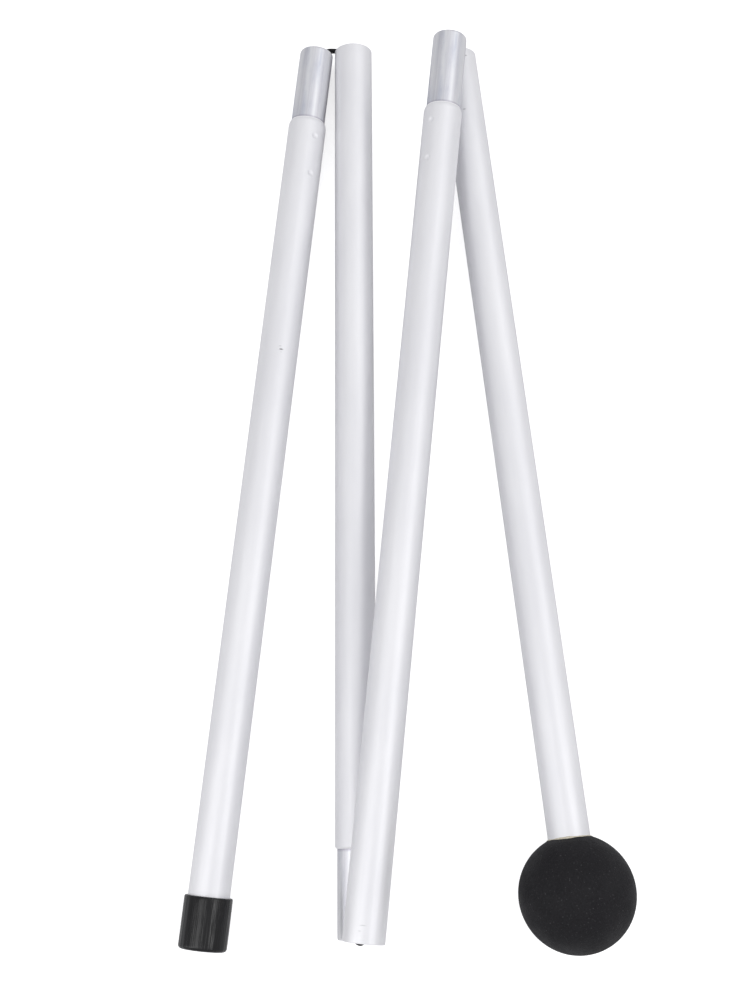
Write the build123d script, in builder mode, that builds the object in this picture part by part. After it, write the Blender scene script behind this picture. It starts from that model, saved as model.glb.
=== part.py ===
from build123d import *
import os
from math import cos, pi, radians, sin

# A folding pole of four aluminium tube sections on one elastic cord, lying folded on a flat surface.
# Millimetres and degrees. +Z up, +Y along the folded bundle, origin under the middle of the bundle.
# Each section has its own plane: origin at its near end, local Z along the tube towards its far end,
# local X upwards. In the opened pole the four planes line up, from the capped end to the ball.

os.makedirs("parts", exist_ok=True)

# ---- driving dimensions ----
TUBE_R = 11.0
TUBE_WALL = 1.1
SECTION_LENGTH = 463.5
PLUG_PLAY = 0.1  # radial play of a ferrule in a tube
FERRULE_WALL = 1.0
FERRULE_REACH = 46.0  # bare length that plugs into the next section
FERRULE_SEAT = 45.0  # length held inside its own section
CORD_R = 2.0
BALL_R = 30.0
CAP_R = 12.7
GLUE_GAP = 0.05

TUBE_BORE_R = TUBE_R - TUBE_WALL
FERRULE_R = TUBE_BORE_R - PLUG_PLAY
FERRULE_BORE_R = FERRULE_R - FERRULE_WALL

# ---- edges ----
SWAGE_LENGTH = 3.2  # the lip drawn in over the ferrule
SWAGE_LIP = 0.25  # wall left at the lip's edge
MOUTH_ROUND = 0.45
NOSE_LENGTH = 1.6  # rounded leading edge of a ferrule
NOSE_DROP = 0.55
BEVEL = 0.3

# ---- stake marks that lock each ferrule: punched in line, and again on the far side ----
STAKE_DEPTHS = (11.7, 35.2)  # distance below the lip
STAKE_PUNCH_R = 2.6
STAKE_DEPTH = 0.6
STAKE_ANGLES = (33.0, -60.0, -36.0)  # round each tube, from straight up

# ---- end cap ----
CAP_OVERHANG = 6.7  # past the tube's end
CAP_LENGTH = 27.0
CAP_FLOOR = 2.2
CAP_ROUND = 1.6

# ---- ball and its plug, along section 4 ----
BALL_CENTRE = 486.0
SOCKET_R = TUBE_R + GLUE_GAP
PLUG_R = TUBE_BORE_R - GLUE_GAP
PLUG_IN_TUBE = 22.0
PLUG_IN_BALL = 23.0
PLUG_HOLE_R = CORD_R + 1.2
KNOT_POCKET_R = 7.5
KNOT_POCKET = 12.0

# ---- cord anchors ----
WASHER_R = 6.5
WASHER_HOLE_R = CORD_R + 0.4
WASHER_THICK = 1.0
KNOT_R = 4.6
KNOT_LENGTH = 7.0
ANCHOR_START = 6.0  # inner plug's near face, from section 1's capped end
ANCHOR_LENGTH = 12.0
STACK_GAP = 0.1  # between plug, washer, knot and cord

# ---- cord folds ----
EXIT_GAP = 0.75  # from the cord's side to the bore's wall where it leaves a tube
FOLD_LIFT = 2.75  # the fold's corners stand this far past the outer rim
FOLD_START = 6.0  # each fold's ends lie this far inside the mouths
FOLD_RADIUS_SHARE = 0.49


def lay(x, y, z, heading, rise):
    """Plane of a section that starts at x, y, z: heading is from +Y towards +X, rise is up from level."""
    h, r = radians(heading), radians(rise)
    along = Vector(sin(h) * cos(r), cos(h) * cos(r), sin(r))
    up = Vector(-sin(h) * sin(r), -cos(h) * sin(r), cos(r))
    return Plane(origin=(x, y, z), x_dir=up, z_dir=along)


# How the folded sections lie: 1 and 4 lean away from 2, and 3 crosses over 2 and 4.
SECTIONS = [
    lay(-104.13, -252.28, 12.80, 6.04, -0.22),
    lay(-28.62, 255.52, TUBE_R, 179.63, 0.0),
    lay(-21.35, -254.22, 31.75, 5.585, -0.03),
    lay(33.49, 252.19, 11.02, 173.638, 2.239),
]
LAST = len(SECTIONS) - 1


def side(place):
    """Plane for a turned profile: X is the radius, Y is along the section."""
    return Plane(origin=place.origin, x_dir=place.x_dir, z_dir=-place.y_dir)


def spin(place):
    return Axis(place.origin, place.z_dir)


def save(solid, label):
    solid.label = label
    export_step(solid, f"parts/{label}.step")


def turned(place, points, label):
    """A ring or plug turned from a closed outline of (radius, distance along) points."""
    with BuildPart() as ring:
        with BuildSketch(side(place)):
            with BuildLine():
                Polyline(*points, close=True)
            make_face()
        revolve(axis=spin(place))
    save(ring.part, label)
    return ring.part


def section_tube(number):
    """A section's tube: a rounded mouth at its near end, and a drawn-in lip where a ferrule leaves it."""
    place = SECTIONS[number]
    has_ferrule = number < LAST
    end = SECTION_LENGTH
    with BuildPart() as tube:
        with BuildSketch(side(place)):
            with BuildLine():
                Line((TUBE_BORE_R, BEVEL), (TUBE_BORE_R + BEVEL, 0))
                Line((TUBE_BORE_R + BEVEL, 0), (TUBE_R - MOUTH_ROUND, 0))
                RadiusArc((TUBE_R - MOUTH_ROUND, 0), (TUBE_R, MOUTH_ROUND), -MOUTH_ROUND)
                if has_ferrule:
                    Line((TUBE_R, MOUTH_ROUND), (TUBE_R, end - SWAGE_LENGTH))
                    TangentArc((TUBE_R, end - SWAGE_LENGTH), (TUBE_BORE_R + SWAGE_LIP, end), tangent=(0, 1))
                    Line((TUBE_BORE_R + SWAGE_LIP, end), (TUBE_BORE_R, end))
                else:
                    Line((TUBE_R, MOUTH_ROUND), (TUBE_R, end))
                    Line((TUBE_R, end), (TUBE_BORE_R, end))
                Line((TUBE_BORE_R, end), (TUBE_BORE_R, BEVEL))
            make_face()
        revolve(axis=spin(place))
        if has_ferrule:
            reach = TUBE_R + STAKE_PUNCH_R - STAKE_DEPTH
            for turn in (0, 180):
                angle = radians(STAKE_ANGLES[number] + turn)
                marks = [(reach * cos(angle), reach * sin(angle), end - depth) for depth in STAKE_DEPTHS]
                with Locations(*[place.from_local_coords(Vector(*mark)) for mark in marks]):
                    Sphere(STAKE_PUNCH_R, mode=Mode.SUBTRACT)
    save(tube.part, f"section_{number + 1}_tube")


def ferrule(number):
    """The bare sleeve that joins a section to the next, with a rounded nose at both ends."""
    place = SECTIONS[number]
    low = SECTION_LENGTH - FERRULE_SEAT
    high = SECTION_LENGTH + FERRULE_REACH
    nose = FERRULE_R - NOSE_DROP
    with BuildPart() as sleeve:
        with BuildSketch(side(place)):
            with BuildLine():
                Line((FERRULE_BORE_R, low), (nose, low))
                TangentArc((FERRULE_R, low + NOSE_LENGTH), (nose, low), tangent=(0, -1))
                Line((FERRULE_R, low + NOSE_LENGTH), (FERRULE_R, high - NOSE_LENGTH))
                TangentArc((FERRULE_R, high - NOSE_LENGTH), (nose, high), tangent=(0, 1))
                Line((nose, high), (FERRULE_BORE_R, high))
                Line((FERRULE_BORE_R, high), (FERRULE_BORE_R, low))
            make_face()
        revolve(axis=spin(place))
    save(sleeve.part, f"ferrule_{number + 1}")


def end_cap():
    """The push-on cap over section 1's near end."""
    place = SECTIONS[0]
    base = -CAP_OVERHANG
    floor = base + CAP_FLOOR
    rim = base + CAP_LENGTH
    inside = TUBE_R + GLUE_GAP
    with BuildPart() as cap:
        with BuildSketch(side(place)):
            with BuildLine():
                Line((0, base), (CAP_R - CAP_ROUND, base))
                RadiusArc((CAP_R - CAP_ROUND, base), (CAP_R, base + CAP_ROUND), -CAP_ROUND)
                Line((CAP_R, base + CAP_ROUND), (CAP_R, rim - CAP_ROUND / 2))
                RadiusArc((CAP_R, rim - CAP_ROUND / 2), (CAP_R - CAP_ROUND / 2, rim), -CAP_ROUND / 2)
                Polyline((CAP_R - CAP_ROUND / 2, rim), (inside, rim), (inside, floor), (0, floor), (0, base))
            make_face()
        revolve(axis=spin(place))
    save(cap.part, "end_cap")


def ball():
    """The ball on section 4's far end, bored for the tube and for the plug."""
    place = SECTIONS[LAST]
    entry = BALL_CENTRE - (BALL_R**2 - SOCKET_R**2) ** 0.5
    shoulder = SECTION_LENGTH + GLUE_GAP
    bottom = SECTION_LENGTH + PLUG_IN_BALL + GLUE_GAP
    bore = PLUG_R + GLUE_GAP
    pole = (0, BALL_CENTRE + BALL_R)
    with BuildPart() as sphere:
        with BuildSketch(side(place)):
            with BuildLine():
                ThreePointArc(pole, (BALL_R, BALL_CENTRE), (SOCKET_R, entry))
                Polyline((SOCKET_R, entry), (SOCKET_R, shoulder), (bore, shoulder), (bore, bottom), (0, bottom), pole)
            make_face()
        revolve(axis=spin(place))
    save(sphere.part, "ball")


def ball_plug():
    """The plug that holds the ball on the tube, hollow for the cord, its washer and its knot."""
    start = SECTION_LENGTH - PLUG_IN_TUBE
    stop = SECTION_LENGTH + PLUG_IN_BALL
    pocket = stop - KNOT_POCKET
    outline = [
        (PLUG_HOLE_R, start),
        (PLUG_R - BEVEL, start),
        (PLUG_R, start + BEVEL),
        (PLUG_R, stop),
        (KNOT_POCKET_R, stop),
        (KNOT_POCKET_R, pocket),
        (PLUG_HOLE_R, pocket),
    ]
    turned(SECTIONS[LAST], outline, "ball_plug")
    return pocket


def anchor_plug():
    """The plug inside section 1's capped end that the cord is tied behind."""
    stop = ANCHOR_START + ANCHOR_LENGTH
    outline = [
        (PLUG_HOLE_R, ANCHOR_START),
        (PLUG_R - BEVEL, ANCHOR_START),
        (PLUG_R, ANCHOR_START + BEVEL),
        (PLUG_R, stop),
        (PLUG_HOLE_R, stop),
    ]
    turned(SECTIONS[0], outline, "cord_anchor_plug")
    return ANCHOR_START


def washer_and_knot(place, face, sense, washer_label, knot_label):
    """A washer on a plug's face and the cord's knot beyond it; returns where the cord meets the knot."""
    near = face + sense * STACK_GAP
    far = near + sense * WASHER_THICK
    ring = [(WASHER_HOLE_R, near), (WASHER_R, near), (WASHER_R, far), (WASHER_HOLE_R, far)]
    turned(place, ring, washer_label)
    top = far + sense * STACK_GAP
    waist = top + sense * KNOT_LENGTH / 2
    tail = top + sense * KNOT_LENGTH
    with BuildPart() as knot:
        with BuildSketch(side(place)):
            with BuildLine():
                Line((0, top), (CORD_R, top))
                ThreePointArc((CORD_R, top), (KNOT_R, waist), (CORD_R, tail))
                Polyline((CORD_R, tail), (0, tail), (0, top))
            make_face()
        revolve(axis=spin(place))
    save(knot.part, knot_label)
    return top


def rod(start, stop, label):
    """A straight run of cord between two points."""
    with BuildPart() as run:
        with BuildSketch(Plane(origin=start, z_dir=stop - start)):
            Circle(CORD_R)
        extrude(amount=(stop - start).length)
    save(run.part, label)
    return (stop - start).length


def exit_point(place, at, bore_r, towards):
    """Where the cord leaves a mouth: beside the bore's wall, on the side of the neighbouring section."""
    centre = place.from_local_coords(Vector(0, 0, at))
    across = towards - centre
    across = across - place.z_dir * across.dot(place.z_dir)
    return centre + across.normalized() * (bore_r - CORD_R - EXIT_GAP)


def fold(number, start, way_out, stop, way_back):
    """The bare cord between two mouths: out along one run, across, and back along the other.

    start and stop are the points where the two runs' lines cross their mouths' planes."""
    outward = (way_out + way_back).normalized()
    level = max(start.dot(outward), stop.dot(outward)) + FOLD_LIFT
    first = start + way_out * ((level - start.dot(outward)) / way_out.dot(outward))
    second = stop + way_back * ((level - stop.dot(outward)) / way_back.dot(outward))
    radius = FOLD_RADIUS_SHARE * (second - first).length
    points = [start - way_out * FOLD_START, first, second, stop - way_back * FOLD_START]
    with BuildPart() as bend:
        with BuildLine() as route:
            FilletPolyline(*points, radius=radius)
        with BuildSketch(Plane(origin=route.line @ 0, z_dir=route.line % 0)):
            Circle(CORD_R)
        sweep()
    length = sum(edge.length for edge in route.edges())
    share = bend.part.volume / (pi * CORD_R**2 * length)
    print(f"cord_fold_{number}: radius {radius:.2f}, length {length:.2f}, volume / (section x length) {share:.4f}")
    save(bend.part, f"cord_fold_{number}")
    return length


for index in range(len(SECTIONS)):
    section_tube(index)
for index in range(LAST):
    ferrule(index)
end_cap()
ball()
plug_pocket = ball_plug()
anchor_face = anchor_plug()
cap_knot_top = washer_and_knot(SECTIONS[0], anchor_face, -1, "cap_washer", "cap_knot")
ball_knot_top = washer_and_knot(SECTIONS[LAST], plug_pocket, 1, "ball_washer", "ball_knot")

# Where the cord crosses each fold's two mouths, the ferrule's tip and the next section's mouth.
FAR_END = SECTION_LENGTH + FERRULE_REACH
tips = [place.from_local_coords(Vector(0, 0, FAR_END)) for place in SECTIONS[:LAST]]
mouths = [place.origin for place in SECTIONS[1:]]
leaves = [exit_point(SECTIONS[i], FAR_END, FERRULE_BORE_R, mouths[i]) for i in range(LAST)]
enters = [exit_point(SECTIONS[i + 1], 0, TUBE_BORE_R, tips[i]) for i in range(LAST)]
knots = [
    SECTIONS[0].from_local_coords(Vector(0, 0, cap_knot_top)),
    SECTIONS[LAST].from_local_coords(Vector(0, 0, ball_knot_top)),
]
starts = [knots[0], *enters]
stops = [*leaves, knots[1]]
ways = [(stop - start).normalized() for start, stop in zip(starts, stops)]

cord_length = 0
for index in range(len(SECTIONS)):
    head = STACK_GAP / 2 if index == 0 else FOLD_START
    foot = STACK_GAP / 2 if index == LAST else FOLD_START
    run_start = starts[index] + ways[index] * head
    run_stop = stops[index] - ways[index] * foot
    cord_length += rod(run_start, run_stop, f"cord_run_{index + 1}")
for index in range(LAST):
    cord_length += fold(index + 1, stops[index], ways[index], starts[index + 1], -ways[index + 1])
print(f"cord length {cord_length:.1f}")
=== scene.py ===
import math
import bpy
import numpy as np
from mathutils import Matrix, Vector


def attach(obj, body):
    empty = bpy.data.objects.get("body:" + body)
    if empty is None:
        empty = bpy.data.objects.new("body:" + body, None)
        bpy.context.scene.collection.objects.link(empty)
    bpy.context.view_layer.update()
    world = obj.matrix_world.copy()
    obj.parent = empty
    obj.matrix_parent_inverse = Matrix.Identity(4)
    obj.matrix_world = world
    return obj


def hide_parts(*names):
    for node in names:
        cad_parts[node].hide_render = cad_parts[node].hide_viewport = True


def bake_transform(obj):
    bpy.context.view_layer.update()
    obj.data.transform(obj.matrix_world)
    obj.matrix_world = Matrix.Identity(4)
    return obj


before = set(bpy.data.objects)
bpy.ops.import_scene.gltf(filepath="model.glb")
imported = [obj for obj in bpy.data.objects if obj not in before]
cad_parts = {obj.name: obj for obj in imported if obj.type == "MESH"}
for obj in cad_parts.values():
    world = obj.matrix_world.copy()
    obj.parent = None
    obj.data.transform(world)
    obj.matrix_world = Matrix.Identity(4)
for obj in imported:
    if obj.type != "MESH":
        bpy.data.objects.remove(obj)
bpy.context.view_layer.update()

# A folded pole of four aluminium tube sections on an elastic cord. Metres, in the CAD model's frame.
# Each section has its own frame: origin at its near end, Z along the tube to its far end, X upwards.
MM = 0.001
TUBE_R = 11.0 * MM
BORE_R = 9.9 * MM
FERRULE_R = 9.8 * MM
FERRULE_BORE_R = 8.8 * MM
SECTION_LENGTH = 463.5 * MM
FERRULE_REACH = 46.0 * MM
FERRULE_SEAT = 45.0 * MM
FAR_END = SECTION_LENGTH + FERRULE_REACH
BALL_CENTRE = 486.0 * MM
BALL_R = 30.0 * MM
CAP_R = 12.7 * MM
CAP_OVERHANG = 6.7 * MM
CAP_LENGTH = 27.0 * MM
CORD_R = 2.0 * MM
GLUE_GAP = 0.05 * MM  # between the tube and what is pushed over it

# ---- camera ----
CAMERA_PLACE = (-0.01561, -0.20643, 0.797)
CAMERA_TILT = 13.36  # degrees from straight down
CAMERA_LENS = 52.4
SENSOR_WIDTH = 36.0


def camera():
    data = bpy.data.cameras.new("camera")
    data.lens = CAMERA_LENS
    data.sensor_width = SENSOR_WIDTH
    seen = bpy.data.objects.new("camera", data)
    seen.location = CAMERA_PLACE
    seen.rotation_euler = (math.radians(CAMERA_TILT), 0, 0)
    bpy.context.scene.collection.objects.link(seen)
    bpy.context.scene.camera = seen


# ---- where the sections lie, read from the CAD tubes ----
RING_DEPTH = 0.5 * MM
AXIS_PASSES = 4  # each pass squares the end rings better to the axis


def ring_centre(points, along):
    """Centre of a ring of points about a direction: the middle of their extent across it."""
    across = np.cross(along, (0, 0, 1.0))
    across /= np.linalg.norm(across)
    up = np.cross(across, along)
    middle = np.zeros(3)
    for direction in (across, up):
        reach = points @ direction
        middle += direction * (reach.min() + reach.max()) / 2
    return middle + along * (points @ along).mean()


def section_frame(number):
    """Matrix of a section, from its tube's two end rings."""
    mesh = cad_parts[f"section_{number}_tube"].data
    points = np.array([vertex.co for vertex in mesh.vertices], float)
    along = np.linalg.svd(points - points.mean(0), full_matrices=False)[2][0]
    if along[1] * (1 if number % 2 else -1) < 0:
        along = -along
    for _ in range(AXIS_PASSES):
        travel = points @ along
        near = ring_centre(points[travel < travel.min() + RING_DEPTH], along)
        far = ring_centre(points[travel > travel.max() - RING_DEPTH], along)
        along = (far - near) / np.linalg.norm(far - near)
    near += along * ((points @ along).min() - near @ along)
    z = Vector(along)
    x = (Vector((0, 0, 1)) - z * z.z).normalized()
    y = z.cross(x)
    return Matrix.Translation(near) @ Matrix((x, y, z)).transposed().to_4x4()


SECTION = {number: section_frame(number) for number in (1, 2, 3, 4)}


def on_section(number, x, y, z):
    return SECTION[number] @ Vector((x, y, z))


# ---- mesh helpers ----
PATTERN_PLACE = "pattern_place"


def add_piece(name, points, faces, matrix=None):
    """A mesh made from local points and set down by matrix. The local points stay on it for its patterns."""
    mesh = bpy.data.meshes.new(name)
    mesh.from_pydata([tuple(point) for point in points], [], faces)
    mesh.polygons.foreach_set("use_smooth", [True] * len(mesh.polygons))
    place = mesh.attributes.new(PATTERN_PLACE, "FLOAT_VECTOR", "POINT")
    place.data.foreach_set("vector", np.array(points, np.float32).ravel())
    if matrix is not None:
        mesh.transform(matrix)
    mesh.update()
    piece = bpy.data.objects.new(name, mesh)
    bpy.context.scene.collection.objects.link(piece)
    return piece


def grid_faces(rows, columns, closed_rows):
    """Quads between successive rings of a turned or swept surface."""
    faces = []
    for row in range(rows if closed_rows else rows - 1):
        after = (row + 1) % rows
        for column in range(columns):
            beside = (column + 1) % columns
            faces.append((row * columns + column, row * columns + beside,
                          after * columns + beside, after * columns + column))
    return faces


def turned(name, profile, matrix, columns=144, shape=None, closed=True):
    """A surface turned from (radius, height) points about local Z. shape moves its points afterwards."""
    profile = np.array(profile, float)
    angle = np.arange(columns) * 2 * math.pi / columns
    radius = np.repeat(profile[:, 0], columns)
    height = np.repeat(profile[:, 1], columns)
    turn = np.tile(angle, len(profile))
    if shape:
        radius, height = shape(radius, turn, height)
    points = np.stack([radius * np.cos(turn), radius * np.sin(turn), height], 1)
    faces = grid_faces(len(profile), columns, closed)
    if not closed:
        points = np.vstack([points, [(0, 0, profile[0, 1])], [(0, 0, profile[-1, 1])]])
        last = (len(profile) - 1) * columns
        for column in range(columns):
            beside = (column + 1) % columns
            faces.append((beside, column, last + columns))
            faces.append((last + column, last + beside, last + columns + 1))
    return add_piece(name, points, faces, matrix)


def arc(centre, radius, start, stop, steps):
    """Profile points on an arc, angles in degrees from the outward direction towards +Z."""
    turns = np.radians(np.linspace(start, stop, steps))
    return [(centre[0] + radius * math.cos(t), centre[1] + radius * math.sin(t)) for t in turns]


def straight(start, stop, spacing):
    """Profile points from start up to, but not including, stop."""
    steps = max(1, round(math.dist(start, stop) / spacing))
    return [(start[0] + (stop[0] - start[0]) * i / steps, start[1] + (stop[1] - start[1]) * i / steps)
            for i in range(steps)]


def finish_piece(piece, material, body, slot, *nodes):
    piece.data.materials.append(material)
    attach(piece, body)
    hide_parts(*nodes)


# ---- material helpers ----
class Shader:
    """A node tree with one Principled shader, and short calls to add to it."""

    def __init__(self, name, on_cad_node=False, **values):
        self.on_cad_node = on_cad_node
        self.material = bpy.data.materials.new(name)
        self.material.use_nodes = True
        self.tree = self.material.node_tree
        self.main = self.tree.nodes["Principled BSDF"]
        for key, value in values.items():
            self.main.inputs[key.replace("_", " ")].default_value = value

    def node(self, kind, **values):
        made = self.tree.nodes.new("ShaderNode" + kind)
        for key, value in values.items():
            setattr(made, key, value)
        return made

    def link(self, source, target):
        self.tree.links.new(source, target)

    def stretched(self, scale):
        """The piece's own coordinates times a scale along each axis, in features per metre."""
        mapping = self.node("Mapping")
        mapping.inputs["Scale"].default_value = scale
        if self.on_cad_node:
            place = self.node("TexCoord").outputs["Object"]
        else:
            place = self.node("Attribute", attribute_name=PATTERN_PLACE).outputs["Vector"]
        self.link(place, mapping.inputs["Vector"])
        return mapping.outputs["Vector"]

    def noise(self, scale, detail=3.0, roughness=0.5):
        made = self.node("TexNoise")
        made.inputs["Scale"].default_value = 1.0
        made.inputs["Detail"].default_value = detail
        made.inputs["Roughness"].default_value = roughness
        self.link(self.stretched(scale), made.inputs["Vector"])
        return made.outputs["Fac"]

    def along(self):
        """Distance along the piece's own Z."""
        place = self.node("Attribute", attribute_name=PATTERN_PLACE).outputs["Vector"]
        split = self.node("SeparateXYZ")
        self.link(place, split.inputs["Vector"])
        return split.outputs["Z"]

    def laid_over(self, under, over, share):
        """One colour over another, by a 0 to 1 pattern."""
        made = self.node("Mix", data_type="RGBA")
        self.link(share, made.inputs["Factor"])
        self.link(under, made.inputs["A"])
        if isinstance(over, tuple):
            made.inputs["B"].default_value = (*over, 1)
        else:
            self.link(over, made.inputs["B"])
        return made.outputs["Result"]

    def spread(self, source, low, high, start=0.3, stop=0.7):
        """Maps start to stop of a pattern onto low to high."""
        made = self.node("MapRange")
        made.inputs["From Min"].default_value = start
        made.inputs["From Max"].default_value = stop
        made.inputs["To Min"].default_value = low
        made.inputs["To Max"].default_value = high
        self.link(source, made.inputs["Value"])
        return made.outputs["Result"]

    def tint(self, source, *stops):
        """Colour ramp of (place, (r, g, b)) stops."""
        ramp = self.node("ValToRGB").color_ramp
        made = self.tree.nodes[-1]
        while len(ramp.elements) < len(stops):
            ramp.elements.new(0.5)
        for element, (place, colour) in zip(ramp.elements, stops):
            element.position = place
            element.color = (*colour, 1)
        self.link(source, made.inputs["Fac"])
        return made.outputs["Color"]

    def bump(self, *layers):
        """Stacked bumps of (height pattern, depth in metres)."""
        normal = None
        for height, depth in layers:
            made = self.node("Bump")
            made.inputs["Strength"].default_value = 1.0
            made.inputs["Distance"].default_value = depth
            self.link(height, made.inputs["Height"])
            if normal:
                self.link(normal, made.inputs["Normal"])
            normal = made.outputs["Normal"]
        self.link(normal, self.main.inputs["Normal"])

    def feed(self, source, socket):
        self.link(source, self.main.inputs[socket])


def anodised_aluminium():
    """Satin silver: fine grain, faint drawing lines, soft smudges, dirt in its nicks, and a painted highlight
    along the lip.
    """
    shader = Shader("anodised_aluminium", Metallic=0.42)
    smudge = shader.noise((60, 60, 14), 4.0)
    lines = shader.noise((900, 900, 12), 2.0)
    colour = shader.tint(smudge, (0.35, (0.82, 0.82, 0.845)), (0.65, (0.88, 0.88, 0.90)))
    # Painted highlight: the last rounded part of each lip is coloured near-white, standing for the light that
    # catches the edge.
    lip = shader.spread(shader.along(), 0.0, 1.0, SECTION_LENGTH - 0.9 * MM, SECTION_LENGTH - 0.6 * MM)
    colour = shader.laid_over(colour, (0.99, 0.99, 1.0), lip)
    dirt = shader.node("Attribute", attribute_name=WEAR).outputs["Fac"]
    shader.feed(shader.laid_over(colour, (0.16, 0.155, 0.16), dirt), "Base Color")
    shader.feed(shader.spread(lines, 0.44, 0.54), "Roughness")
    shader.bump((lines, 0.000012), (shader.noise((3200, 3200, 3200), 2.0), 0.000010),
                (shader.noise((45, 45, 9), 1.0), 0.00010))
    return shader.material


def drawn_aluminium():
    """Bare aluminium: lengthwise die lines, grey-blue stains, a few pits, and a painted shadow beside the
    lip.
    """
    shader = Shader("drawn_aluminium", Metallic=0.74)
    stain = shader.noise((120, 120, 24), 5.0, 0.6)
    streak = shader.noise((430, 430, 5), 3.0, 0.6)
    stops = [(0.36, (0.62, 0.64, 0.71)), (0.50, (0.78, 0.79, 0.82)), (0.70, (0.86, 0.86, 0.87))]
    colour = shader.tint(stain, *stops)
    dull = shader.spread(streak, 0.0, 0.42, 0.46, 0.62)
    colour = shader.laid_over(colour, (0.58, 0.57, 0.63), dull)
    # Painted shadow: a dark purple band just outside the tube's lip stands for the shade where the sleeve
    # goes into the tube.
    painted_lip_shadow = shader.spread(shader.along(), 0.55, 0.0, SECTION_LENGTH + 0.2 * MM, SECTION_LENGTH + 1.6 * MM)
    shader.feed(shader.laid_over(colour, (0.34, 0.31, 0.40), painted_lip_shadow), "Base Color")
    shader.feed(shader.spread(shader.noise((700, 700, 6), 4.0, 0.65), 0.33, 0.46), "Roughness")
    pits = shader.spread(shader.noise((620, 620, 620), 1.0), 1.0, 0.0, 0.68, 0.76)
    shader.bump((streak, 0.00005), (pits, 0.00005), (shader.noise((150, 150, 8), 1.0), 0.00020))
    return shader.material


def glossy_vinyl():
    """Dipped black vinyl: lengthwise ripples in its gloss, with fine scuffs."""
    shader = Shader("glossy_vinyl", Base_Color=(0.003, 0.003, 0.0038, 1), IOR=1.42)
    scuff = shader.noise((900, 900, 120), 4.0, 0.7)
    shader.feed(shader.spread(scuff, 0.13, 0.30, 0.42, 0.72), "Roughness")
    ripple = shader.noise((420, 420, 14), 3.0, 0.65)
    swell = shader.noise((120, 120, 60), 1.5)
    shader.bump((ripple, 0.00042), (swell, 0.00030), (scuff, 0.000012))
    return shader.material


def matt_rubber():
    """Near-black matt rubber: a pebbled skin with pale dust caught on the grain."""
    shader = Shader("matt_rubber", Specular_IOR_Level=0.22)
    grain = shader.noise((1500, 1500, 1500), 4.0, 0.65)
    blotch = shader.noise((70, 70, 70), 4.0)
    skin = shader.tint(grain, (0.34, (0.0035, 0.0033, 0.0045)), (0.60, (0.0100, 0.0096, 0.0118)))
    dust = shader.spread(shader.noise((1150, 1150, 1150), 1.0), 0.0, 0.55, 0.66, 0.78)
    shader.feed(shader.laid_over(skin, (0.085, 0.083, 0.088), dust), "Base Color")
    shader.feed(shader.spread(blotch, 0.52, 0.72), "Roughness")
    shader.bump((grain, 0.00022), (shader.noise((600, 600, 600), 2.0), 0.00018), (blotch, 0.0003))
    return shader.material


def braided_cover(name, on_cad_node=False):
    """Black braided polyester: a soft sheen and a fine thread noise."""
    shader = Shader(name, on_cad_node=on_cad_node, Sheen_Weight=0.05, Sheen_Roughness=0.4, Roughness=0.8)
    thread = shader.noise((5200, 5200, 1700), 2.0)
    colour = shader.tint(thread, (0.3, (0.003, 0.003, 0.0035)), (0.7, (0.013, 0.013, 0.015)))
    shader.feed(colour, "Base Color")
    shader.bump((thread, 0.00008))
    return shader.material


def natural_nylon():
    """Milky moulded nylon with faint flow marks."""
    shader = Shader("natural_nylon", on_cad_node=True, Subsurface_Weight=0.15, Subsurface_Scale=0.002)
    flow = shader.noise((240, 240, 70), 3.0)
    shader.feed(shader.tint(flow, (0.3, (0.64, 0.60, 0.50)), (0.7, (0.74, 0.71, 0.62))), "Base Color")
    shader.feed(shader.spread(flow, 0.42, 0.55), "Roughness")
    shader.bump((flow, 0.00008))
    return shader.material


def zinc_plate():
    """Zinc-plated washer steel with a mottled, faintly yellow passivate."""
    shader = Shader("zinc_plate", on_cad_node=True, Metallic=1.0)
    mottle = shader.noise((900, 900, 900), 4.0)
    shader.feed(shader.tint(mottle, (0.3, (0.50, 0.50, 0.49)), (0.7, (0.66, 0.65, 0.60))), "Base Color")
    shader.feed(shader.spread(mottle, 0.28, 0.42), "Roughness")
    shader.bump((mottle, 0.00003))
    return shader.material


def dried_glue():
    """Amber contact cement squeezed out round the ball's neck."""
    shader = Shader("dried_glue", IOR=1.5)
    skin = shader.noise((1500, 1500, 1500), 3.0)
    shader.feed(shader.tint(skin, (0.3, (0.50, 0.45, 0.33)), (0.7, (0.76, 0.72, 0.60))), "Base Color")
    shader.feed(shader.spread(skin, 0.30, 0.55), "Roughness")
    shader.bump((skin, 0.0001))
    return shader.material


# ---- tubes ----
SWAGE_LENGTH = {1: 3.2 * MM, 2: 1.3 * MM, 3: 3.2 * MM}
LIP_WALL = 0.25 * MM
MOUTH_ROUND = 0.45 * MM
BORE_BEVEL = 0.3 * MM
CUT_EDGE = 0.1 * MM  # section 4's far edge, hidden in the ball
STAKE_DEPTHS = (11.7 * MM, 35.2 * MM)
STAKE_ANGLES = {1: 33.0, 2: -60.0, 3: -36.0}
DENT_REACH = 1.9 * MM
DENT_DEPTH = 0.70 * MM
DENT_RIM = 0.06 * MM
RIM_PLACE = 1.15  # the raised rim round a punch mark, in reaches from its middle
RIM_WIDTH = 0.22
WEAR = "wear"
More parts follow.
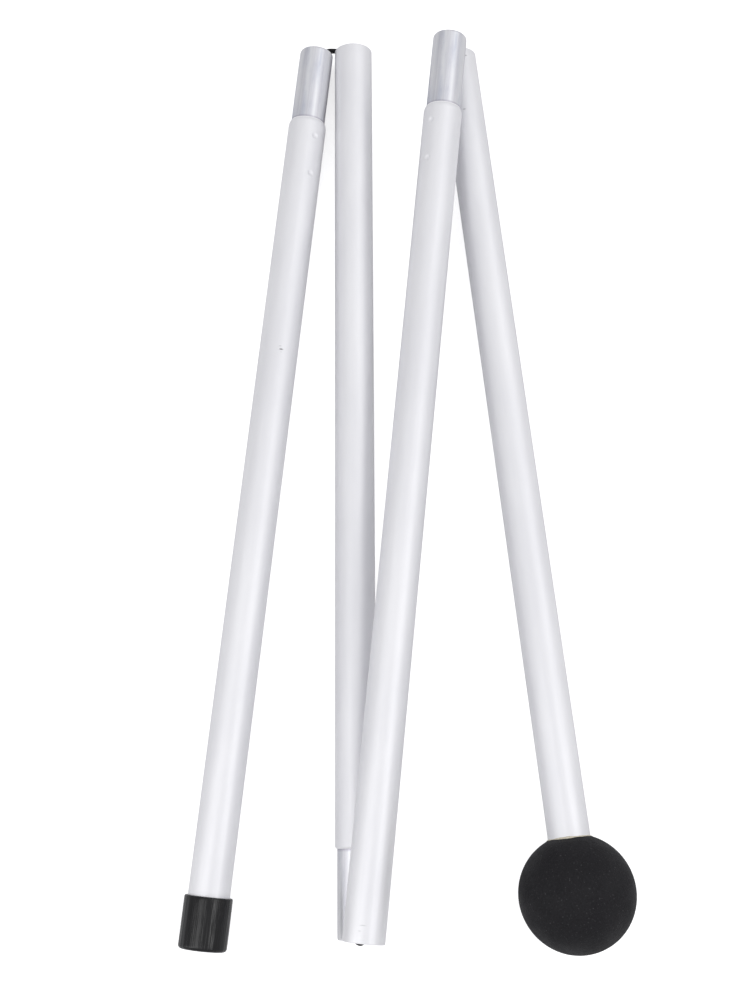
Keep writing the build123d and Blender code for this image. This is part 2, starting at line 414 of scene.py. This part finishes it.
# Handling marks on a tube, in mm and degrees:
# distance along, angle, half width across, half length along, depth, and dirt from 0 to 1.
MARKS = {
    1: [
        (318.8, 12.0, 1.5, 0.55, 0.20, 1.0),
        (320.6, 8.0, 1.0, 0.4, 0.08, 0.35),
        (317.2, 13.0, 0.9, 0.35, 0.06, 0.2),
    ],
    2: [],
    3: [
        (9.0, -6.0, 2.4, 0.35, 0.05, 0.35),
        (6.2, -14.0, 1.2, 0.3, 0.05, 0.3),
    ],
    4: [
        (5.4, -20.0, 1.4, 0.7, 0.08, 0.6),
        (41.0, 8.0, 1.3, 0.6, 0.06, 0.45),
    ],
}
MARK_SPACING = 0.22 * MM
SPACING_FINE = 0.45 * MM
SPACING_COARSE = 9.0 * MM
INSIDE_SPACING = 40.0 * MM
TUBE_COLUMNS = 160
LIP_RINGS = 12


def marks_of(number):
    """A tube's handling marks: distance along, angle, (half width, half length), depth and dirt."""
    return [(along * MM, math.radians(angle), (width * MM, length * MM), depth * MM, dirt)
            for along, angle, width, length, depth, dirt in MARKS[number]]


def press(radius, turn, height, angle, depth_along, reach, depth, rim):
    """How far a punch mark moves each point of the tube's outside: in at the crater, out at its rim."""
    offset = (turn - angle + math.pi) % (2 * math.pi) - math.pi
    away = np.sqrt((offset * TUBE_R / reach[0]) ** 2 + ((height - depth_along) / reach[1]) ** 2)
    crater = np.clip(1 - away**2, 0, None) ** 1.5 * depth
    raised = np.exp(-((away - RIM_PLACE) / RIM_WIDTH) ** 2) * rim
    return np.where(radius > BORE_R + BORE_BEVEL, raised - crater, 0.0)


def tube_outside(number):
    """Profile of a tube's outside, from its mouth to its far end, with close rings where it is marked."""
    mouth = arc((TUBE_R - MOUTH_ROUND, MOUTH_ROUND), MOUTH_ROUND, -90, 0, 7)
    has_lip = number != 4
    end = SECTION_LENGTH - (SWAGE_LENGTH[number] if has_lip else CUT_EDGE)
    fine = [(along - 3 * reach[1], along + 3 * reach[1], MARK_SPACING)
            for along, _, reach, _, _ in marks_of(number)]
    if has_lip:
        fine.append((SECTION_LENGTH - STAKE_DEPTHS[1] - 2 * DENT_REACH, end, SPACING_FINE))
    heights = list(np.arange(mouth[-1][1], end, SPACING_COARSE))
    for low, high, spacing in fine:
        heights = [height for height in heights if not low <= height <= high]
        heights += list(np.arange(low, high, spacing))
    heights = sorted(height for height in heights if mouth[-1][1] <= height < end)
    outside = mouth[:-1] + [(TUBE_R, height) for height in heights]
    if not has_lip:
        return outside + [(TUBE_R, end), (TUBE_R - CUT_EDGE, SECTION_LENGTH)]
    drop = TUBE_R - BORE_R - LIP_WALL
    lip = [(TUBE_R - drop * share**2, end + SWAGE_LENGTH[number] * share)
           for share in np.linspace(0, 1, LIP_RINGS)]
    return outside + lip


def section_tube(number, material):
    def dented(radius, turn, height):
        push = np.zeros_like(radius)
        if number in STAKE_ANGLES:
            for below in STAKE_DEPTHS:
                for half in (0, math.pi):
                    angle = math.radians(STAKE_ANGLES[number]) + half
                    reach = (DENT_REACH, DENT_REACH)
                    place = SECTION_LENGTH - below
                    push += press(radius, turn, height, angle, place, reach, DENT_DEPTH, DENT_RIM)
        for along, angle, reach, depth, _ in marks_of(number):
            push += press(radius, turn, height, angle, along, reach, depth, depth / 3)
        return radius + push, height

    inside_far = (BORE_R, SECTION_LENGTH)
    inside_near = (BORE_R, BORE_BEVEL)
    inside = straight(inside_far, inside_near, INSIDE_SPACING) + [inside_near]
    profile = tube_outside(number) + inside
    piece = turned(f"tube_{number}", profile, SECTION[number], TUBE_COLUMNS, dented)
    radius = np.repeat([ring[0] for ring in profile], TUBE_COLUMNS)
    height = np.repeat([ring[1] for ring in profile], TUBE_COLUMNS)
    turn = np.tile(np.arange(TUBE_COLUMNS) * 2 * math.pi / TUBE_COLUMNS, len(profile))
    dirt = np.zeros_like(radius)
    for along, angle, reach, _, darkness in marks_of(number):
        dirt -= press(radius, turn, height, angle, along, reach, darkness, 0)
    worn = piece.data.attributes.new(WEAR, "FLOAT", "POINT")
    worn.data.foreach_set("value", dirt.astype(np.float32))
    finish_piece(piece, material, f"section_{number}", "tube", f"section_{number}_tube")


# ---- ferrules ----
NOSE_LENGTH = 1.6 * MM
NOSE_DROP = 0.55 * MM
FERRULE_COLUMNS = 144


def ferrule(number, material):
    low = SECTION_LENGTH - FERRULE_SEAT
    rounding = [(math.sin(t), math.cos(t)) for t in np.linspace(0, math.pi / 2, 8)]
    high = FAR_END - NOSE_LENGTH
    tip = [(FERRULE_R - NOSE_DROP * (1 - c), high + NOSE_LENGTH * s) for s, c in rounding]
    root = [(FERRULE_R - NOSE_DROP * (1 - c), low + NOSE_LENGTH - NOSE_LENGTH * s)
            for s, c in reversed(rounding)]
    outside = root + straight(root[-1], tip[0], 6 * MM)[1:] + tip
    inside = straight((FERRULE_BORE_R, FAR_END), (FERRULE_BORE_R, low), 30 * MM) + [(FERRULE_BORE_R, low)]
    piece = turned(f"sleeve_{number}", outside + inside, SECTION[number], FERRULE_COLUMNS)
    finish_piece(piece, material, f"section_{number}", "ferrule", f"ferrule_{number}")


# ---- cap ----
CAP_FLOOR = 2.2 * MM
CAP_CORNER = 1.9 * MM
CAP_RIM_ROUND = 0.8 * MM
CAP_MIDDLE_R = 0.4 * MM
CAP_DISH = 0.25 * MM  # how far its end is hollowed in the middle
CAP_COLUMNS = 160


def end_cap(material):
    base = -CAP_OVERHANG
    rim = base + CAP_LENGTH
    inside = base + CAP_FLOOR
    inner = TUBE_R + GLUE_GAP
    shoulder = rim - CAP_RIM_ROUND
    profile = straight((CAP_MIDDLE_R, base + CAP_DISH), (CAP_R - CAP_CORNER, base), 1.0 * MM)
    profile += arc((CAP_R - CAP_CORNER, base + CAP_CORNER), CAP_CORNER, -90, 0, 12)
    profile += straight((CAP_R, base + CAP_CORNER), (CAP_R, shoulder), 0.8 * MM)[1:]
    profile += arc((CAP_R - CAP_RIM_ROUND, shoulder), CAP_RIM_ROUND, 0, 90, 8)
    profile += [(inner, rim), (inner, inside), (CAP_MIDDLE_R, inside)]

    def dipped(radius, turn, height):
        """The skin is a little uneven."""
        swell = 0.035 * MM * np.sin(3 * turn + 0.8) + 0.025 * MM * np.sin(5 * turn - height * 160)
        return np.where(radius > inner + 0.1 * MM, radius + swell - 0.03 * MM, radius), height

    piece = turned("vinyl_cap", profile, SECTION[1], CAP_COLUMNS, dipped, closed=False)
    finish_piece(piece, material, "section_1", "cap", "end_cap")


# ---- ball ----
BALL_PLUG_DEPTH = 23.05 * MM  # past section 4's end
BALL_RINGS = 150
BALL_COLUMNS = 192
BEAD_R = 0.75 * MM
BALL_SKIN = 0.05 * MM  # points nearer the bore than this keep their place
BEAD_OFFSET = 0.15 * MM  # from the ball's bore out to the bead's middle
BEAD_SINK = 0.05 * MM
BEAD_COLUMNS = 220


def ball(material, glue):
    inner = TUBE_R + GLUE_GAP
    entry = math.asin(inner / BALL_R)
    rounding = math.radians(2.2)
    turns = np.linspace(0.02, math.pi - entry - rounding, BALL_RINGS)
    outside = [(BALL_R * math.sin(t), BALL_CENTRE + BALL_R * math.cos(t)) for t in turns]
    mouth = BALL_CENTRE - BALL_R * math.cos(entry)
    lip = [
        (inner + 0.5 * MM, mouth - 0.02 * MM),
        (inner + 0.12 * MM, mouth + 0.25 * MM),
        (inner, mouth + 0.8 * MM),
    ]
    shoulder = SECTION_LENGTH + GLUE_GAP
    bottom = SECTION_LENGTH + BALL_PLUG_DEPTH
    inside = [(inner, shoulder), (BORE_R, shoulder), (BORE_R, bottom), (0.2 * MM, bottom)]

    def hand_pressed(radius, turn, height):
        """A rubber ball is never quite round."""
        outer = radius > inner + BALL_SKIN
        oval = 0.0012 * (1 + np.sin(2 * turn + 0.6))
        lobed = 0.0008 * (1 + np.sin(3 * turn + height * 90))
        squeeze = 1 - oval - lobed
        return np.where(outer, radius * squeeze, radius), height

    profile = outside + lip + inside
    piece = turned("rubber_ball", profile, SECTION[4], BALL_COLUMNS, hand_pressed, closed=False)
    finish_piece(piece, material, "section_4", "ball", "ball")

    middle = inner + BEAD_OFFSET
    ring = [(middle + BEAD_R * math.cos(t) * 1.1, mouth + BEAD_SINK + BEAD_R * math.sin(t))
            for t in np.linspace(0, 2 * math.pi, 14, endpoint=False)]

    def squeezed(radius, turn, height):
        """The bead swells and thins as it was smeared by a finger."""
        amount = 0.62 + 0.26 * np.sin(2 * turn + 1.2)
        amount = amount + 0.16 * np.sin(5 * turn) + 0.10 * np.sin(11 * turn + 0.5)
        return middle + (radius - middle) * amount, mouth + (height - mouth) * amount

    bead = turned("glue_bead", ring, SECTION[4], BEAD_COLUMNS, squeezed)
    bead.data.materials.append(glue)
    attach(bead, "section_4")


# ---- cord ----
EXIT_GAP = 0.75 * MM
FOLD_LIFT = 0.9 * MM
FOLD_FLATTEN = 0.62  # share of its thickness where the cord is pulled flat over the rims
FOLD_START = 6.0 * MM
BRAID_CARRIERS = 8
BRAID_PITCH = 7.0 * MM
BRAID_RELIEF = 0.13 * MM
CAP_KNOT_TOP = 4.8 * MM
BALL_KNOT_TOP = SECTION_LENGTH + 12.2 * MM
RUN_OVERLAP = 1.0 * MM  # of a straight run and the bend that goes on from it
RUN_SPACING = 1.2 * MM
RUN_COLUMNS = 24
BEND_SPACING = 0.3 * MM
BEND_COLUMNS = 48


def exit_point(number, at, bore_r, towards):
    """Where the cord leaves a mouth: beside the bore's wall, on the side of the neighbouring section."""
    centre = on_section(number, 0, 0, at)
    along = SECTION[number].col[2].xyz
    across = towards - centre
    across -= along * across.dot(along)
    return centre + across.normalized() * (bore_r - CORD_R - EXIT_GAP)


def smooth_path(points, spacing):
    """Even samples of a smooth curve that has these points as its control points."""
    points = [Vector(point) for point in points]
    middles = [(a + b) / 2 for a, b in zip(points, points[1:])]
    starts = [points[0], *middles[1:-1]]
    path = []
    for start, control, stop in zip(starts, points[1:-1], [*middles[1:-1], points[-1]]):
        steps = max(4, round(((control - start).length + (stop - control).length) / spacing))
        for i in range(steps):
            t = i / steps
            path.append(start * (1 - t) ** 2 + control * 2 * t * (1 - t) + stop * t * t)
    return [*path, points[-1]]


def braided(name, path, columns, flatten=None):
    """A cord's cover along a path: two sets of strands wound opposite ways, with a hollow between strands.

    flatten is a direction, along which the cord is thinner where it runs across that direction."""
    path = np.array([tuple(point) for point in path])
    tangent = np.gradient(path, axis=0)
    tangent /= np.linalg.norm(tangent, axis=1)[:, None]
    travel = np.concatenate([[0], np.cumsum(np.linalg.norm(np.diff(path, axis=0), axis=1))])
    side = np.cross(tangent[0], (0.31, 0.17, 0.93))
    angle = np.arange(columns) * 2 * math.pi / columns
    points = []
    for centre, ahead, distance in zip(path, tangent, travel):
        side = side - ahead * (side @ ahead)
        side /= np.linalg.norm(side)
        other = np.cross(ahead, side)
        wind = 2 * math.pi * distance / BRAID_PITCH
        right = np.sin(BRAID_CARRIERS / 2 * (angle - wind))
        left = np.sin(BRAID_CARRIERS / 2 * (angle + wind))
        radius = CORD_R - BRAID_RELIEF * (1 - np.abs(right * left))
        ring = radius[:, None] * (np.cos(angle)[:, None] * side + np.sin(angle)[:, None] * other)
        if flatten is not None:
            share = (1 - FOLD_FLATTEN) * (1 - abs(ahead @ flatten))
            ring -= share * (ring @ flatten)[:, None] * flatten
        points.append(centre + ring)
    rows = len(points)
    faces = grid_faces(rows, columns, False)
    faces.append(tuple(reversed(range(columns))))
    faces.append(tuple((rows - 1) * columns + column for column in range(columns)))
    return add_piece(name, np.concatenate(points), faces)


def cord(material):
    tips = {number: on_section(number, 0, 0, FAR_END) for number in (1, 2, 3)}
    mouths = {number: on_section(number, 0, 0, 0) for number in (2, 3, 4)}
    leaves = {number: exit_point(number, FAR_END, FERRULE_BORE_R, mouths[number + 1]) for number in (1, 2, 3)}
    enters = {number: exit_point(number, 0, BORE_R, tips[number - 1]) for number in (2, 3, 4)}
    enters[1] = on_section(1, 0, 0, CAP_KNOT_TOP)
    leaves[4] = on_section(4, 0, 0, BALL_KNOT_TOP)
    ways = {number: (leaves[number] - enters[number]).normalized() for number in (1, 2, 3, 4)}

    for number in (1, 2, 3, 4):
        start = enters[number] + ways[number] * (0 if number == 1 else FOLD_START - RUN_OVERLAP)
        stop = leaves[number] - ways[number] * (0 if number == 4 else FOLD_START - RUN_OVERLAP)
        count = round((stop - start).length / RUN_SPACING)
        line = [start.lerp(stop, i / count) for i in range(count + 1)]
        run = braided(f"cord_in_section_{number}", line, RUN_COLUMNS)
        finish_piece(run, material, f"section_{number}", "cord", f"cord_run_{number}")

    for number in (1, 2, 3):
        out, back = ways[number], -ways[number + 1]
        outward = (out + back).normalized()
        level = max(leaves[number].dot(outward), enters[number + 1].dot(outward)) + FOLD_LIFT
        first = leaves[number] + out * ((level - leaves[number].dot(outward)) / out.dot(outward))
        second = enters[number + 1] + back * ((level - enters[number + 1].dot(outward)) / back.dot(outward))
        points = [leaves[number] - out * FOLD_START, first - out * FOLD_START / 2, first,
                  second, second - back * FOLD_START / 2, enters[number + 1] - back * FOLD_START]
        route = smooth_path(points, BEND_SPACING)
        bend = braided(f"cord_bend_{number}", route, BEND_COLUMNS, np.array(outward))
        bend.data.materials.append(material)
        start, end = (second, first) if number == 1 else (first, second)
        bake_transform(bend)
        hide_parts(f"cord_fold_{number}")


# ---- CAD pieces inside the tubes ----
def dress_inner_pieces(nylon, zinc, cover):
    dress = {"cord_anchor_plug": nylon, "ball_plug": nylon, "cap_washer": zinc, "ball_washer": zinc,
             "cap_knot": cover, "ball_knot": cover}
    for name, material in dress.items():
        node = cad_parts[name]
        node.data.materials.clear()
        node.data.materials.append(material)


# ---- stage ----
FLOOR_REACH = 4.0
FLOOR_GLOW = 0.65
FLOOR_BOUNCE = 0.7
BLUE_LIFT = 1.01  # the light is very slightly cool
SKY_BY_HEIGHT = [(0.0, 0.80), (0.3, 0.80), (0.6, 0.86), (0.85, 0.95), (1.0, 1.0)]
SKY_LEFT_TO_RIGHT = [(0.0, 0.88), (0.08, 0.72), (0.20, 0.92), (0.60, 1.0), (1.0, 0.96)]
SKY_STRENGTH = 0.83


def floor():
    """A plain white sheet: the camera sees it evenly lit, and the metal mirrors it as a softer grey."""
    corners = [(-1, -1), (1, -1), (1, 1), (-1, 1)]
    points = [(x * FLOOR_REACH, y * FLOOR_REACH, 0) for x, y in corners]
    piece = add_piece("floor", points, [(0, 1, 2, 3)])
    shader = Shader("pale_floor", Roughness=0.9, Base_Color=(0.8, 0.8, 0.8, 1))
    shader.main.inputs["Emission Color"].default_value = (1, 1, 1, 1)
    shader.main.inputs["Emission Strength"].default_value = FLOOR_GLOW
    bounced = shader.node("BsdfDiffuse")
    bounced.inputs["Color"].default_value = (FLOOR_BOUNCE, FLOOR_BOUNCE, FLOOR_BOUNCE * BLUE_LIFT, 1)
    path = shader.node("LightPath")
    pick = shader.node("MixShader")
    shader.link(path.outputs["Is Camera Ray"], pick.inputs[0])
    shader.link(bounced.outputs[0], pick.inputs[1])
    shader.link(shader.main.outputs[0], pick.inputs[2])
    shader.link(pick.outputs[0], shader.tree.nodes["Material Output"].inputs["Surface"])
    piece.data.materials.append(shader.material)


def softbox(name, place, target, along, across, power):
    """A rectangular lamp: along is its size in the direction of the tubes, across is the other size."""
    data = bpy.data.lights.new(name, "AREA")
    data.energy = power
    data.shape = "RECTANGLE"
    data.size = along
    data.size_y = across
    lamp = bpy.data.objects.new(name, data)
    lamp.location = place
    lamp.rotation_euler = (Vector(target) - Vector(place)).to_track_quat("-Z", "Y").to_euler()
    bpy.context.scene.collection.objects.link(lamp)


def ramp_of(tree, source, stops):
    """A near-grey ramp of (place, brightness) stops."""
    made = tree.nodes.new("ShaderNodeValToRGB")
    ramp = made.color_ramp
    while len(ramp.elements) < len(stops):
        ramp.elements.new(0.5)
    for element, (place, light) in zip(ramp.elements, stops):
        element.position = place
        element.color = (light, light, light * BLUE_LIFT, 1)
    tree.links.new(source, made.inputs["Fac"])
    return made.outputs["Color"]


def studio():
    """A pale sky, dimmer low down and to the left, and three soft lamps."""
    world = bpy.data.worlds.new("studio")
    bpy.context.scene.world = world
    world.use_nodes = True
    tree = world.node_tree
    place = tree.nodes.new("ShaderNodeTexCoord")
    split = tree.nodes.new("ShaderNodeSeparateXYZ")
    tree.links.new(place.outputs["Generated"], split.inputs["Vector"])
    half = tree.nodes.new("ShaderNodeMath")
    half.operation = "MULTIPLY_ADD"
    half.inputs[1].default_value = 0.5
    half.inputs[2].default_value = 0.5
    tree.links.new(split.outputs["X"], half.inputs[0])
    both = tree.nodes.new("ShaderNodeMix")
    both.data_type = "RGBA"
    both.blend_type = "MULTIPLY"
    both.inputs["Factor"].default_value = 1.0
    tree.links.new(ramp_of(tree, split.outputs["Z"], SKY_BY_HEIGHT), both.inputs["A"])
    tree.links.new(ramp_of(tree, half.outputs[0], SKY_LEFT_TO_RIGHT), both.inputs["B"])
    tree.links.new(both.outputs["Result"], tree.nodes["Background"].inputs["Color"])
    tree.nodes["Background"].inputs["Strength"].default_value = SKY_STRENGTH
    softbox("left_softbox", (-1.05, -0.50, 1.0), (-0.1, -0.3, 0), 0.5, 1.9, 6)
    softbox("right_strip", (1.0, -0.50, 1.15), (-0.1, -0.3, 0), 0.9, 0.22, 2.6)
    softbox("right_softbox", (1.1, 0.6, 1.4), (0, 0, 0), 1.6, 1.6, 4.5)
    bpy.context.scene.view_settings.view_transform = "Standard"


camera()
cover = braided_cover("braided_cover")
cord(cover)
tube_metal = anodised_aluminium()
for section in (1, 2, 3, 4):
    section_tube(section, tube_metal)
sleeve_metal = drawn_aluminium()
for section in (1, 2, 3):
    ferrule(section, sleeve_metal)
end_cap(glossy_vinyl())
ball(matt_rubber(), dried_glue())
dress_inner_pieces(natural_nylon(), zinc_plate(), braided_cover("knot_cover", on_cad_node=True))
floor()
studio()
